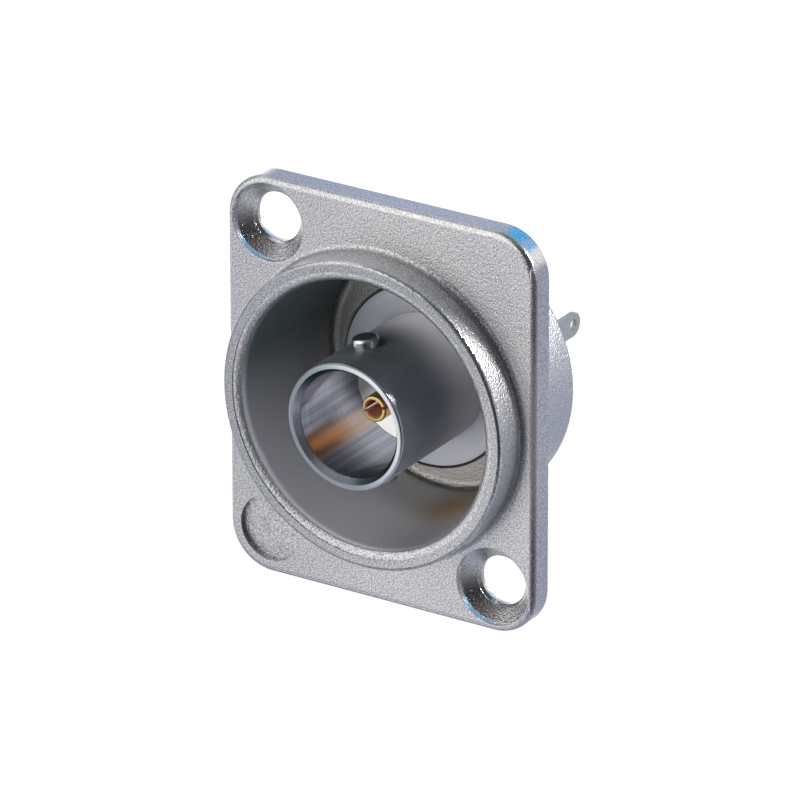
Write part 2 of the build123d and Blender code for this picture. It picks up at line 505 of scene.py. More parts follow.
def turned_lines_group() -> bpy.types.NodeTree:
    """Fine circular lines that a lathe leaves round the Y axis, and broader streaks among them.

    Returns:
        The node group.
    """
    sheet = GroupSheet(
        "turned_lines",
        {"Vector": None, "Line Width": 0.05 * MM},
        {"Height": "NodeSocketFloat", "Streak": "NodeSocketFloat"},
    )
    streak_to_line = 0.12
    streak_reach = (0.3, 0.7)
    parts = sheet.parts()
    place = sheet.node("ShaderNodeCombineXYZ")
    sheet.feed(place.inputs["X"], sheet.slant(parts["X"], parts["Z"]))
    sheet.feed(place.inputs["Y"], parts["Y"])
    scale = sheet.maths("DIVIDE", 1.0, sheet.given["Line Width"])
    broad_scale = sheet.maths("MULTIPLY", scale, streak_to_line)
    lines = sheet.noise(place.outputs[0], scale, detail=3.0, roughness=0.6)
    broad = sheet.noise(place.outputs[0], broad_scale, detail=2.0, roughness=0.5)
    sheet.feed(sheet.result["Height"], lines)
    sheet.feed(sheet.result["Streak"], sheet.spread(broad, *streak_reach))
    return sheet.group()


def axis_place_group() -> bpy.types.NodeTree:
    """Distance from the socket's axis and place along it.

    Returns:
        The node group.
    """
    sheet = GroupSheet(
        "axis_place",
        {"Vector": None},
        {"Radius": "NodeSocketFloat", "Along": "NodeSocketFloat"},
    )
    parts = sheet.parts()
    sheet.feed(sheet.result["Radius"], sheet.slant(parts["X"], parts["Z"]))
    sheet.feed(sheet.result["Along"], parts["Y"])
    return sheet.group()


def handling_group() -> bpy.types.NodeTree:
    """Faint cloudy marks of handling and plating.

    Returns:
        The node group.
    """
    sheet = GroupSheet(
        "handling",
        {"Vector": None, "Cloud Size": 4.0 * MM},
        {"Cloud": "NodeSocketFloat"},
    )
    cloud_reach = (0.32, 0.68)
    scale = sheet.maths("DIVIDE", 1.0, sheet.given["Cloud Size"])
    clouds = sheet.noise(sheet.given["Vector"], scale, detail=3.0, roughness=0.55)
    sheet.feed(sheet.result["Cloud"], sheet.spread(clouds, *cloud_reach))
    return sheet.group()


class SharedGroups:
    """The node groups that several finishes use, each built once."""

    def __init__(self) -> None:
        """Build every group."""
        self.cast_grain = cast_grain_group()
        self.turned_lines = turned_lines_group()
        self.axis_place = axis_place_group()
        self.handling = handling_group()


class MaterialSheet(NodeSheet):
    """A material with one Principled surface, fed by the shared groups."""

    def __init__(self, name: str, groups: SharedGroups) -> None:
        """Make the material.

        Args:
            name: the material's name.
            groups: the shared node groups.
        """
        self.material = bpy.data.materials.new(name)
        self.material.use_nodes = True
        super().__init__(self.material.node_tree)
        self.groups = groups
        self.place = self.node("ShaderNodeTexCoord").outputs["Object"]
        self.surface = self.node("ShaderNodeBsdfPrincipled")
        output = self.node("ShaderNodeOutputMaterial")
        self.feed(output.inputs["Surface"], self.surface.outputs["BSDF"])

    def wear(self, **values: object) -> None:
        """Link sockets into the surface, or write constant values on its own sockets.

        Args:
            values: the surface's inputs, in small letters with underscores for spaces, and what they get.
        """
        for name, value in values.items():
            self.feed(self.surface.inputs[name.replace("_", " ").title()], value)

    def shared(self, group: bpy.types.NodeTree, **values: object) -> Outputs:
        """Place a shared group, read in Object coordinates.

        Args:
            group: the group.
            values: its other inputs, with underscores for spaces.

        Returns:
            The group node's outputs.
        """
        made = self.node("ShaderNodeGroup", node_tree=group)
        self.feed(made.inputs["Vector"], self.place)
        for name, value in values.items():
            self.feed(made.inputs[name.replace("_", " ").title()], value)
        return made.outputs

    @cached_property
    def parts(self) -> Outputs:
        """The place's X, Y and Z."""
        split = self.node("ShaderNodeSeparateXYZ")
        self.feed(split.inputs[0], self.place)
        return split.outputs

    @cached_property
    def axis_place(self) -> Outputs:
        """The distance from the socket's axis and the place along it."""
        return self.shared(self.groups.axis_place)

    @property
    def radius(self) -> Socket:
        """The distance from the socket's axis."""
        return self.axis_place["Radius"]

    @property
    def along(self) -> Socket:
        """The place along the socket's axis."""
        return self.axis_place["Along"]

    def side(self, degrees: float, low: float, high: float, to_low: float = 0.0,
             to_high: float = 1.0) -> Socket:
        """Mark one side of the socket's axis; nearness is 1 on that side and -1 opposite.

        Args:
            degrees: the side's turn.
            low: nearness where the mark starts.
            high: nearness where it is full.
            to_low: the mark before it starts.
            to_high: the mark where it is full.

        Returns:
            The mask.
        """
        near = self.vectors("DOT_PRODUCT", self.place, across_axis(degrees))
        return self.spread(self.maths("DIVIDE", near, self.radius), low, high, to_low, to_high)

    def bump(self, height: object, distance: float, below: object = None) -> Socket:
        """Add a Bump node.

        Args:
            height: the height's socket.
            distance: metres for a height of 1.
            below: the normal that this bump lies on.

        Returns:
            The normal's socket.
        """
        made = self.node("ShaderNodeBump")
        self.feed(made.inputs["Strength"], 1.0)
        self.feed(made.inputs["Distance"], distance)
        self.feed(made.inputs["Height"], height)
        if below is not None:
            self.feed(made.inputs["Normal"], below)
        return made.outputs["Normal"]


class HolePlace:
    """Places in the nearer of the plate's two screw holes."""

    plate_back = (-0.10 * MM, -0.04 * MM)
    wall_start = (0.02 * MM, 0.06 * MM)
    wall_end = (-0.04 * MM, 0.0)
    neck_start = (0.10 * MM, 0.16 * MM)
    cone_start = (-0.05 * MM, 0.0)
    cone_end = (0.0, 0.10 * MM)

    def __init__(self, sheet: MaterialSheet, edge: float) -> None:
        """Find the place from the nearer hole's centre.

        Args:
            sheet: the material.
            edge: width of the soft edge round the countersink's mouth.
        """
        self.sheet = sheet
        left = sheet.maths("MULTIPLY", sheet.maths("SIGN", sheet.parts["X"]), -1.0)
        nearer = sheet.vectors("SCALE", HOUSING.left_hole, left)
        flat = sheet.vectors("MULTIPLY", sheet.place, (1.0, 0.0, 1.0))
        self.away = sheet.vectors("SUBTRACT", flat, nearer)
        self.distance = sheet.vectors("LENGTH", self.away)
        within = sheet.fade(self.distance, HOUSING.countersink_radius, HOUSING.countersink_radius + edge)
        self.inside = sheet.overlap(within, sheet.fade(sheet.along, *self.plate_back))

    def wall(self) -> Socket:
        """Mark the short straight wall at the countersink's mouth."""
        behind = self.sheet.spread(self.sheet.along, *beyond(HOUSING.plate_front, self.wall_start))
        before = self.sheet.fade(self.sheet.along, *beyond(HOUSING.cone_front, self.wall_end))
        return self.sheet.overlap(self.inside, behind, before)

    def neck(self) -> Socket:
        """Mark the straight hole behind the cone."""
        behind = self.sheet.spread(self.sheet.along, *beyond(HOUSING.cone_back, self.neck_start))
        return self.sheet.overlap(self.inside, behind)

    def facing(self, degrees: float, reach: Range) -> Socket:
        """Mark one side of the hole.

        Args:
            degrees: the side's turn.
            reach: nearness to that side where the mark starts, and where it is full.

        Returns:
            The mask.
        """
        near = self.sheet.vectors("DOT_PRODUCT", self.away, across_axis(degrees))
        return self.sheet.spread(self.sheet.maths("DIVIDE", near, self.distance), *reach)

    def cone(self, degrees: float, reach: Range, stretch: Range) -> Socket:
        """Mark one side of the cone.

        Args:
            degrees: the side's turn.
            reach: nearness to that side where the mark starts, and where it is full.
            stretch: where the mark starts and ends along the axis.

        Returns:
            The mask.
        """
        start, end = stretch
        behind = self.sheet.spread(self.sheet.along, *beyond(start, self.cone_start))
        before = self.sheet.fade(self.sheet.along, *beyond(end, self.cone_end))
        return self.sheet.overlap(self.facing(degrees, reach), self.inside, behind, before)


def plate_outline_group() -> bpy.types.NodeTree:
    """Distance from the plate's rounded outline, negative inside it.

    Returns:
        The node group.
    """
    sheet = GroupSheet(
        "plate_outline",
        {"Vector": None, "Half Width": HOUSING.half_width, "Half Height": HOUSING.half_height,
         "Corner": HOUSING.plate_corner},
        {"Distance": "NodeSocketFloat"},
    )
    parts = sheet.parts()
    excess = []
    for axis, half in (("X", "Half Width"), ("Z", "Half Height")):
        straight = sheet.maths("SUBTRACT", sheet.given[half], sheet.given["Corner"])
        size = sheet.maths("ABSOLUTE", parts[axis])
        excess.append(sheet.maths("SUBTRACT", size, straight))
    outside = sheet.slant(*[sheet.maths("MAXIMUM", part, 0.0) for part in excess])
    inside = sheet.maths("MINIMUM", sheet.maths("MAXIMUM", *excess), 0.0)
    total = sheet.maths("ADD", outside, inside)
    sheet.feed(sheet.result["Distance"], sheet.maths("SUBTRACT", total, sheet.given["Corner"]))
    return sheet.group()


# Finishes

@dataclass(frozen=True)
class CastNickel:
    """Satin nickel plate on a grained casting, smooth on the bell's wall and on its lip.

    A reach is the nearness to one side where a mark starts and where it is full. A metal value below 1 lets
    that part show a plain lit tone beside its reflections.
    """

    colour: Colour = (0.81, 0.80, 0.80)
    dull_colour: Colour = (0.42, 0.43, 0.45)
    grain_size: float = 0.12 * MM
    pit_size: float = 0.23 * MM
    grain_depth: float = 0.042 * MM
    roughness: float = 0.34
    roughness_spread: float = 0.16
    cloud_size: float = 5.0 * MM
    cloud_spread: float = 0.05
    soft_edge: float = 0.10 * MM

    # Painted shade: the plate darkens towards the left.
    left_shade_tint: Colour = (0.66, 0.67, 0.71)
    left_from: float = -12.0 * MM
    left_to: float = 3.0 * MM
    left_share: float = 0.5
    plate_depth: Range = (-0.4 * MM, -0.2 * MM)
    # Painted light: the plate beside the ring on the right is less metallic, so it shows a plain lit tone.
    beside_turn: float = 22.0
    beside_reach: Range = (0.4, 0.9)
    beside_inner: Range = (0.3 * MM, 0.6 * MM)
    beside_outer: Range = (1.4 * MM, 3.7 * MM)
    beside_lit_metal: float = 0.80
    # Painted reflection: a dark band on the plate's rounded right edge.
    edge_reflection_colour: Colour = (0.34, 0.30, 0.32)
    edge_across: Range = (-0.50 * MM, -0.38 * MM)
    edge_depth: Range = (0.22 * MM, 0.34 * MM)

    worn_roughness: float = 0.17
    worn_grain: float = 0.18
    worn_rim: Range = (-0.50 * MM, -0.35 * MM)
    ring_edge_width: float = 0.30 * MM
    ring_edge_depth: Range = (0.23 * MM, 0.31 * MM)

    # Painted shade on the raised ring's front, darker at the upper left.
    land_shade_tint: Colour = (0.64, 0.66, 0.69)
    land_depth: Range = (0.01 * MM, 0.06 * MM)
    land_turn: float = 140.0
    land_reach: Range = (-1.0, 0.3)
    land_least: float = 0.35
    # Painted shade in the corner at the raised ring's foot, on the right.
    foot_shade_colour: Colour = (0.16, 0.16, 0.18)
    foot_round: float = 0.15 * MM
    foot_width: float = 0.60 * MM
    foot_share: float = 0.8
    foot_turn: float = 15.0
    foot_reach: Range = (0.45, 0.85)

    # Painted light and shade on the bell's wall: lit and shaded copies of its tone, a greenish shade and a
    # brown reflection.
    bell_lit_colour: Colour = (0.88, 0.87, 0.90)
    bell_shaded_colour: Colour = (0.50, 0.51, 0.53)
    bell_green_shade: Colour = (0.27, 0.34, 0.34)
    bell_brown_reflection: Colour = (0.52, 0.36, 0.20)
    bell_roughness: float = 0.46
    bell_metal: float = 0.85
    bell_grain: float = 0.05
    bell_radius: Range = (10.27 * MM, 10.41 * MM)
    bell_back: Range = (-0.57 * MM, -0.43 * MM)
    light_turn: float = 228.0
    light_reach: Range = (0.4, 0.95)
    green_turn: float = 135.0
    green_reach: Range = (0.1, 1.0)
    brown_reflection_spot: Triple = (3.2 * MM, 3.4 * MM, -9.4 * MM)
    brown_width: float = 4.2 * MM
    floor_colour: Colour = (0.62, 0.60, 0.57)
    floor_radius: float = 9.9 * MM
    floor_depth: Range = (-0.50 * MM, -0.30 * MM)

    # Painted reflection: blue on the countersink's mouth wall, at the lower left.
    blue_reflection_colour: Colour = (0.22, 0.50, 0.74)
    blue_turn: float = 238.0
    blue_reach: Range = (0.80, 0.98)
    wall_metal: float = 0.6
    wall_grain: float = 0.06
    neck_colour: Colour = (0.78, 0.72, 0.66)
    neck_metal: float = 0.3
    cone_light_turn: float = 140.0
    cone_light_reach: Range = (0.3, 0.9)
    cone_light_stretch: Range = (HOUSING.cone_front + 0.01 * MM, HOUSING.cone_back + 0.06 * MM)
    cone_light_metal: float = 0.66
    cone_shade: Colour = (0.26, 0.245, 0.25)
    cone_shade_turn: float = 225.0
    cone_shade_reach: Range = (0.45, 0.95)
    cone_shade_stretch: Range = (HOUSING.cone_front + 0.08 * MM, HOUSING.cone_back - 0.24 * MM)
    cone_grain: float = 1.3
    cone_grain_turn: float = 255.0
    cone_grain_reach: Range = (-0.2, 0.6)
    cone_grain_stretch: Range = (HOUSING.cone_front + 0.01 * MM, HOUSING.cone_back - 0.24 * MM)

    def build(self, groups: SharedGroups) -> bpy.types.Material:
        """Make the material.

        Args:
            groups: the shared node groups.

        Returns:
            The material.
        """
        sheet = MaterialSheet("cast_nickel_satin", groups)
        grain = sheet.shared(groups.cast_grain, grain_size=self.grain_size, pit_size=self.pit_size)
        hole = HolePlace(sheet, self.soft_edge)
        bell = self.bell_mask(sheet)
        # Painted reflection: the dark band on the plate's right edge.
        edge = self.painted_edge_reflection_mask(sheet)
        worn = sheet.overlap(self.worn_mask(sheet, hole), sheet.maths("SUBTRACT", 1.0, edge))
        # Painted blue reflection on the lower left of the countersink's mouth wall.
        blue = sheet.overlap(hole.wall(), hole.facing(self.blue_turn, self.blue_reach))
        kept = self.kept_grain(sheet, hole, bell, worn)
        sheet.wear(
            metallic=self.metal(sheet, hole, bell, blue),
            base_color=self.tone(sheet, grain["Fleck"], hole, bell, edge, blue),
            roughness=self.rough(sheet, grain["Fleck"], bell, worn),
            normal=sheet.bump(sheet.maths("MULTIPLY", grain["Height"], kept), self.grain_depth),
        )
        return sheet.material

    def metal(self, sheet: MaterialSheet, hole: HolePlace, bell: Socket, blue: Socket) -> Socket:
        """Work out how metallic each part is.

        Args:
            sheet: the material.
            hole: places in the nearer screw hole.
            bell: mask of the bell's wall.
            blue: mask of the painted blue reflection.

        Returns:
            The share of metal.
        """
        cone_light = hole.cone(self.cone_light_turn, self.cone_light_reach, self.cone_light_stretch)
        metal = sheet.blend(bell, 1.0, self.bell_metal)
        metal = sheet.blend(self.painted_light_beside_ring_mask(sheet), metal, self.beside_lit_metal)
        metal = sheet.blend(cone_light, metal, self.cone_light_metal)
        metal = sheet.blend(hole.wall(), metal, self.wall_metal)
        return sheet.blend(sheet.maths("MAXIMUM", blue, hole.neck()), metal, self.neck_metal)

    def tone(self, sheet: MaterialSheet, fleck: Socket, hole: HolePlace, bell: Socket, edge: Socket,
             blue: Socket) -> Socket:
        """Colour each part over the flecked plate.

        Args:
            sheet: the material.
            fleck: mask of the grain's flecks.
            hole: places in the nearer screw hole.
            bell: mask of the bell's wall.
            edge: mask of the painted dark reflection on the plate's right edge.
            blue: mask of the painted blue reflection.

        Returns:
            The colour.
        """
        cone_shade = hole.cone(self.cone_shade_turn, self.cone_shade_reach, self.cone_shade_stretch)
        tone = sheet.mix(fleck, self.dull_colour, self.colour)
        tone = sheet.mix(self.painted_land_shade_mask(sheet), tone, self.land_shade_tint, Laid.TINTED)
        tone = sheet.mix(self.painted_left_shade_mask(sheet), tone, self.left_shade_tint, Laid.TINTED)
        painted = (
            (self.floor_mask(sheet), self.floor_colour),
            (bell, self.bell_tone(sheet)),
            (self.painted_foot_shade_mask(sheet), self.foot_shade_colour),
            (edge, self.edge_reflection_colour),
            (blue, self.blue_reflection_colour),
            (hole.neck(), self.neck_colour),
            (cone_shade, self.cone_shade),
        )
        for mask, paint in painted:
            tone = sheet.mix(mask, tone, paint)
        return tone

    def rough(self, sheet: MaterialSheet, fleck: Socket, bell: Socket, worn: Socket) -> Socket:
        """Work out how rough each part is.

        Args:
            sheet: the material.
            fleck: mask of the grain's flecks.
            bell: mask of the bell's wall.
            worn: mask of the smoother parts.

        Returns:
            The roughness.
        """
        cloud = sheet.shared(sheet.groups.handling, cloud_size=self.cloud_size)["Cloud"]
        between_flecks = self.roughness + self.roughness_spread / 2
        rough = sheet.maths("MULTIPLY_ADD", fleck, -self.roughness_spread, between_flecks)
        rough = sheet.maths("MULTIPLY_ADD", cloud, self.cloud_spread, rough)
        rough = sheet.blend(worn, rough, self.worn_roughness)
        bell_rough = sheet.maths("MULTIPLY_ADD", cloud, self.cloud_spread, self.bell_roughness)
        return sheet.blend(bell, rough, bell_rough)

    def kept_grain(self, sheet: MaterialSheet, hole: HolePlace, bell: Socket, worn: Socket) -> Socket:
        """Work out how much of the grain each part keeps.

        Args:
            sheet: the material.
            hole: places in the nearer screw hole.
            bell: mask of the bell's wall.
            worn: mask of the smoother parts.

        Returns:
            The share of the grain's height.
        """
        coarse = hole.cone(self.cone_grain_turn, self.cone_grain_reach, self.cone_grain_stretch)
        worn_grain = sheet.blend(coarse, self.worn_grain, self.cone_grain)
        worn_grain = sheet.blend(hole.wall(), worn_grain, self.wall_grain)
        return sheet.blend(bell, sheet.blend(worn, 1.0, worn_grain), self.bell_grain)

    def on_plate(self, sheet: MaterialSheet) -> Socket:
        """Mark what is no further forward than the plate."""
        return sheet.spread(sheet.along, *beyond(HOUSING.plate_front, self.plate_depth))

    def painted_left_shade_mask(self, sheet: MaterialSheet) -> Socket:
        """Mark the plate's left part for painted shade: it is darker towards the left."""
        left = sheet.spread(sheet.parts["X"], self.left_from, self.left_to, self.left_share, 0.0)
        return sheet.overlap(left, self.on_plate(sheet))

    def painted_light_beside_ring_mask(self, sheet: MaterialSheet) -> Socket:
        """Mark the plate right beside the raised ring on the right, where less metal gives painted light: a
        plain lit tone beside its reflection.
        """
        inner = beyond(HOUSING.ring_radius, self.beside_inner)
        outer = beyond(HOUSING.ring_radius, self.beside_outer)
        right = sheet.side(self.beside_turn, *self.beside_reach)
        return sheet.overlap(sheet.spread(sheet.radius, *inner), sheet.fade(sheet.radius, *outer), right,
                             self.on_plate(sheet))

    def painted_edge_reflection_mask(self, sheet: MaterialSheet) -> Socket:
        """Mark the dark band on the plate's rounded right edge: a painted reflection of dark surroundings."""
        across = beyond(HOUSING.half_width, self.edge_across)
        depth = beyond(HOUSING.plate_front, self.edge_depth)
        return sheet.overlap(sheet.spread(sheet.parts["X"], *across), sheet.fade(sheet.along, *depth))

    def worn_mask(self, sheet: MaterialSheet, hole: HolePlace) -> Socket:
        """Mark what is smoother than the rest: the plate's edge, the raised ring's edge and the screw holes.

        Args:
            sheet: the material.
            hole: places in the nearer screw hole.

        Returns:
            The mask.
        """
        distance = sheet.shared(plate_outline_group())["Distance"]
        rim = sheet.spread(distance, *self.worn_rim)
        rim = sheet.overlap(rim, sheet.fade(sheet.along, 0.0, self.soft_edge))
        inner = HOUSING.ring_radius - self.ring_edge_width
        outer = sheet.spread(sheet.radius, inner, inner + self.soft_edge)
        front = sheet.fade(sheet.along, *beyond(HOUSING.ring_front, self.ring_edge_depth))
        marks = sheet.maths("MAXIMUM", rim, sheet.overlap(outer, front))
        return sheet.maths("MAXIMUM", marks, hole.inside)

    def painted_land_shade_mask(self, sheet: MaterialSheet) -> Socket:
        """Mark the raised ring's front for painted shade, more strongly at the upper left."""
        front = sheet.fade(sheet.along, *beyond(HOUSING.ring_front, self.land_depth))
        return sheet.overlap(front, sheet.side(self.land_turn, *self.land_reach, self.land_least, 1.0))

    def painted_foot_shade_mask(self, sheet: MaterialSheet) -> Socket:
        """Mark the painted shade in the corner where the raised ring meets the plate, on the right."""
        across = sheet.maths("SUBTRACT", sheet.radius, HOUSING.ring_radius + self.foot_round)
        along = sheet.maths("SUBTRACT", sheet.along, HOUSING.plate_front - self.foot_round)
        near = sheet.spread(sheet.slant(across, along), 0.0, self.foot_width, self.foot_share, 0.0)
        return sheet.overlap(near, sheet.side(self.foot_turn, *self.foot_reach))

    def bell_mask(self, sheet: MaterialSheet) -> Socket:
        """Mark the bell's wall and the inner part of its lip."""
        before = sheet.fade(sheet.along, *beyond(HOUSING.floor_front, self.bell_back))
        return sheet.overlap(sheet.fade(sheet.radius, *self.bell_radius), before)

    def floor_mask(self, sheet: MaterialSheet) -> Socket:
        """Mark the bell's floor."""
        within = sheet.fade(sheet.radius, self.floor_radius, self.floor_radius + self.soft_edge)
        behind = sheet.spread(sheet.along, *beyond(HOUSING.floor_front, self.floor_depth))
        return sheet.overlap(within, behind)

    def bell_tone(self, sheet: MaterialSheet) -> Socket:
        """Colour the bell's wall with painted light and shade: lit below, a greenish shade on one side, and a
        faint painted brown reflection.

        Args:
            sheet: the material.

        Returns:
            The colour.
        """
        away = sheet.vectors("DISTANCE", sheet.place, self.brown_reflection_spot)
        tone = sheet.mix(sheet.side(self.green_turn, *self.green_reach), self.bell_shaded_colour, self.bell_green_shade)
        tone = sheet.mix(sheet.side(self.light_turn, *self.light_reach), tone, self.bell_lit_colour)
        return sheet.mix(sheet.fade(away, 0.0, self.brown_width), tone, self.bell_brown_reflection)


@dataclass(frozen=True)
class TurnedNickel:
    """Bright nickel plate on turned brass, with the lathe's fine circular lines.

    A reach is the nearness to one side where a mark starts and where it is full.
    """

    name: str = "turned_nickel_bright"
    colour: Colour = (0.62, 0.64, 0.67)
    dulling: float = 0.93
    cloud_size: float = 3.0 * MM
    roughness: float = 0.29
    roughness_spread: float = 0.06
    line_width: float = 0.06 * MM
    line_depth: float = 0.0008 * MM
    stretch: float = 1.0
    along_axis: float = 0.25
    soft_edge: float = 0.10 * MM

    barrel_colour: Colour = (0.54, 0.56, 0.62)
    barrel_back: Range = (-3.75 * MM, -0.75 * MM)
    shaded_colour: Colour = (0.20, 0.23, 0.25)
    shaded_turn: float = 115.0
    shaded_reach: Range = (0.2, 1.0)
    # Painted reflection: a pale, less metallic sheen on the barrel's back end at the upper right.
    sheen_reflection_colour: Colour = (0.84, 0.81, 0.86)
    sheen_metal: float = 0.25
    sheen_start: float = -2.0 * MM
    sheen_end: Range = (-0.05 * MM, 0.0)
    sheen_turn: float = 48.0
    sheen_reach: Range = (-0.2, 0.7)
    flange_colour: Colour = (0.44, 0.45, 0.49)
    flange_depth: Range = (-0.35 * MM, -0.05 * MM)

    # Painted light and shade on the barrel's rim: lit at the upper right, shaded elsewhere.
    rim_shaded_colour: Colour = (0.24, 0.29, 0.31)
    rim_light: Colour = (0.72, 0.75, 0.78)
    rim_turn: float = 25.0
    rim_reach: Range = (-0.3, 0.9)
    rim_depth: Range = (0.12 * MM, 0.18 * MM)
    rim_across: Range = (-0.20 * MM, -0.12 * MM)
    rim_roughness: float = 0.15
    rim_rough_depth: Range = (0.23 * MM, 0.33 * MM)

    bore_colour: Colour = (0.45, 0.46, 0.56)
    bore_streak: Colour = (0.29, 0.31, 0.38)
    bore_shade: Colour = (0.10, 0.14, 0.16)
    bore_turns: tuple[float, float] = (112.0, 308.0)
    bore_reach: Range = (0.70, 0.97)
    bore_roughness: float = 0.17
    bore_margin: float = 0.03 * MM
    bore_depth: Range = (0.5 * MM, 0.7 * MM)
    streaks_across: float = 2.2 / MM
    streaks_along: float = 0.05 / MM
    streak_reach: Range = (0.35, 0.65)
    # Painted reflection: an amber streak where the gilt contact shows in the bore.
    amber_reflection_colour: Colour = (0.74, 0.45, 0.18)
    amber_turn: float = 222.0
    amber_reach: Range = (0.965, 0.998)
    amber_stretch: Range = (-5.0 * MM, 1.0 * MM)
    amber_share: Range = (0.55, 0.40)
    chamfer_light: Colour = (0.62, 0.60, 0.68)
    chamfer_start: Range = (0.02 * MM, 0.08 * MM)
    chamfer_turn: float = 208.0
    chamfer_reach: Range = (0.2, 0.95)

    thread_depth: float = 0.24 * MM
    thread_across: Range = (-0.04 * MM, 0.06 * MM)
    thread_stretch: Range = (-4.0 * MM, -0.38 * MM)

    def build(self, groups: SharedGroups) -> bpy.types.Material:
        """Make the material.

        Args:
            groups: the shared node groups.

        Returns:
            The material.
        """
        sheet = MaterialSheet(self.name, groups)
        lines = sheet.shared(groups.turned_lines, line_width=self.line_width)
        mouth = JACK.mouth_radius
        bored = self.bored_mask(sheet, mouth, mouth + self.soft_edge)
        # Painted reflection: the pale sheen at the barrel's back end.
        sheen = self.painted_sheen_mask(sheet)
        front = sheet.fade(sheet.along, *beyond(JACK.barrel_front, self.rim_rough_depth))
        rough = sheet.blend(front, self.roughness, self.rim_roughness)
        rough = sheet.blend(bored, rough, self.bore_roughness)
        under = sheet.bump(self.thread(sheet), self.thread_depth)
        height = sheet.maths("MULTIPLY", lines["Height"], sheet.maths("SUBTRACT", 1.0, bored))
        around = sheet.node("ShaderNodeTangent", direction_type="RADIAL", axis="Y")
        sheet.wear(
            base_color=sheet.mix(sheen, self.tones(sheet), self.sheen_reflection_colour),
            metallic=sheet.blend(sheen, 1.0, self.sheen_metal),
            roughness=sheet.maths("MULTIPLY_ADD", lines["Streak"], self.roughness_spread, rough),
            normal=sheet.bump(height, self.line_depth, below=under),
            tangent=around.outputs[0],
            anisotropic=self.stretch,
            anisotropic_rotation=self.along_axis,
        )
        return sheet.material

    def outside(self, sheet: MaterialSheet) -> Socket:
        """Mark what is outside the bore's mouth."""
        return sheet.spread(sheet.radius, JACK.mouth_radius, JACK.mouth_radius + self.soft_edge)

    def bored_mask(self, sheet: MaterialSheet, low: float, high: float) -> Socket:
        """Mark the bore.

        Args:
            sheet: the material.
            low: distance from the axis where the mark starts to fade.
            high: distance where it is gone.

        Returns:
            The mask.
        """
        before = sheet.fade(sheet.along, *beyond(JACK.bore_end, self.bore_depth))
        return sheet.overlap(sheet.fade(sheet.radius, low, high), before)

    def painted_sheen_mask(self, sheet: MaterialSheet) -> Socket:
        """Mark the pale sheen at the barrel's back end, upper right: a painted reflection of the bright bell
        floor and flange.
        """
        start, end = beyond(JACK.flange_front, self.sheen_end)
        back = sheet.spread(sheet.along, self.sheen_start, start)
        facing = sheet.side(self.sheen_turn, *self.sheen_reach)
        return sheet.overlap(self.outside(sheet), back, sheet.fade(sheet.along, start, end), facing)

    def tones(self, sheet: MaterialSheet) -> Socket:
        """Tint the barrel, its rim, its bore and the flange over the plain tone, with painted shade on the
        barrel and painted light and shade on its rim and its bore.

        Args:
            sheet: the material.

        Returns:
            The colour.
        """
        cloud = sheet.shared(sheet.groups.handling, cloud_size=self.cloud_size)["Cloud"]
        tone = sheet.mix(cloud, self.colour, tuple(self.dulling * part for part in self.colour))
        before = sheet.fade(sheet.along, *beyond(JACK.flange_front, self.barrel_back))
        shaded = sheet.side(self.shaded_turn, *self.shaded_reach)
        barrel = sheet.mix(shaded, self.barrel_colour, self.shaded_colour)
        tone = sheet.mix(sheet.overlap(self.outside(sheet), before), tone, barrel)
        # Painted light and shade: the rim's lit side and its shaded side.
        front = sheet.fade(sheet.along, *beyond(JACK.barrel_front, self.rim_depth))
        within = sheet.fade(sheet.radius, *beyond(JACK.barrel_radius, self.rim_across))
        rim = sheet.mix(sheet.side(self.rim_turn, *self.rim_reach), self.rim_shaded_colour, self.rim_light)
        tone = sheet.mix(sheet.overlap(front, within), tone, rim)
        bored = self.bored_mask(sheet, JACK.mouth_radius - self.bore_margin, JACK.mouth_radius)
        tone = sheet.mix(bored, tone, self.bore_tone(sheet))
        flange = sheet.spread(sheet.along, *beyond(JACK.flange_front, self.flange_depth))
        return sheet.mix(sheet.overlap(flange, self.outside(sheet)), tone, self.flange_colour)

    def bore_tone(self, sheet: MaterialSheet) -> Socket:
        """Colour the bore: streaks along it, painted shade on two sides, a painted amber reflection of the
        gilt contact, and a chamfer with a painted lit side and shaded side.

        Args:
            sheet: the material.

        Returns:
            The colour.
        """
        squeezed = sheet.vectors("MULTIPLY", sheet.place,
                                 (self.streaks_across, self.streaks_along, self.streaks_across))
        streaks = sheet.noise(squeezed, 1.0, detail=3.0, roughness=0.6)
        bore = sheet.mix(sheet.spread(streaks, *self.streak_reach), self.bore_streak, self.bore_colour)
        for degrees in self.bore_turns:
            bore = sheet.mix(sheet.side(degrees, *self.bore_reach), bore, self.bore_shade)
        # Painted amber reflection of the gilt contact on one side of the bore.
        amber = sheet.side(self.amber_turn, *self.amber_reach)
        faded = sheet.spread(sheet.along, *self.amber_stretch, *self.amber_share)
        bore = sheet.mix(sheet.overlap(amber, faded), bore, self.amber_reflection_colour)
        lit = sheet.side(self.chamfer_turn, *self.chamfer_reach)
        chamfer = sheet.spread(sheet.radius, *beyond(JACK.bore_radius, self.chamfer_start))
        return sheet.mix(chamfer, bore, sheet.mix(lit, self.bore_shade, self.chamfer_light))

